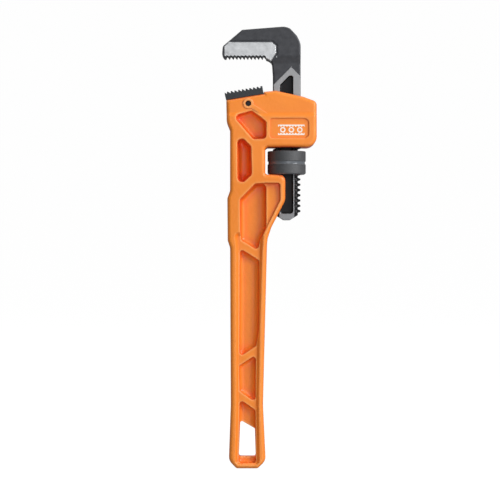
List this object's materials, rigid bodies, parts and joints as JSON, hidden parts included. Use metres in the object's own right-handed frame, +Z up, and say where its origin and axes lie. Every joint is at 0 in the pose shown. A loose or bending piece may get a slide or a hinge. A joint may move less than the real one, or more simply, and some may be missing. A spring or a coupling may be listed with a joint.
{
  "type": "pipe wrench",
  "caption": "Straight pipe wrench: cast I-section handle with integral housing and hang hole, knurled adjusting nut, threaded hook jaw that slides, and a replaceable toothed heel jaw.",
  "frame": {"origin": "middle of the handle's flat butt end", "axes": "+Z up the handle's length towards the jaws, +X across it towards the adjusting nut, Y through its thickness with the shown side at -Y"},
  "size_m": [0.0892, 0.0364, 0.4177],
  "materials": {
    "handle_paint": "gloss enamel over ductile iron",
    "jaw_steel": "black oxide over hardened steel",
    "hook_steel": "forged and blackened, with ground bright faces",
    "nut_steel": "black oxide, knurled",
    "pin_steel": "plain drawn steel",
    "spring_steel": "oil-tempered spring steel"
  },
  "bodies": {
    "handle": {"handle": "handle_paint", "heel_jaw": "jaw_steel", "heel_jaw_pin": "pin_steel"},
    "spring_set": {"flat_spring": "spring_steel", "spring_rivet": "pin_steel", "coil_spring": "spring_steel"},
    "hook_jaw": {"hook_jaw": "hook_steel"},
    "adjusting_nut": {"adjusting_nut": "nut_steel"}
  },
  "joints": [
    {"name": "jaw_rock", "type": "hinge", "parent": "handle", "child": "spring_set", "pos_m": [0.0192, 0, 0.278], "axis": [0, -1, 0], "range_deg": [0, 2], "stiffness_Nm_per_rad": 10, "springref_deg": -1.72},
    {"name": "nut_spin", "type": "hinge", "parent": "spring_set", "child": "adjusting_nut", "pos_m": [0.0374, 0, 0.29], "axis": [0, 0, 1], "range_deg": [-2890, 1880]},
    {"name": "jaw_slide", "type": "slide", "parent": "spring_set", "child": "hook_jaw", "axis": [0, 0, 1], "range_m": [-0.026, 0.04]}
  ],
  "couplings": [
    {"joint": "nut_spin", "follows": "jaw_slide", "rad_per_m": -1256.6}
  ]
}
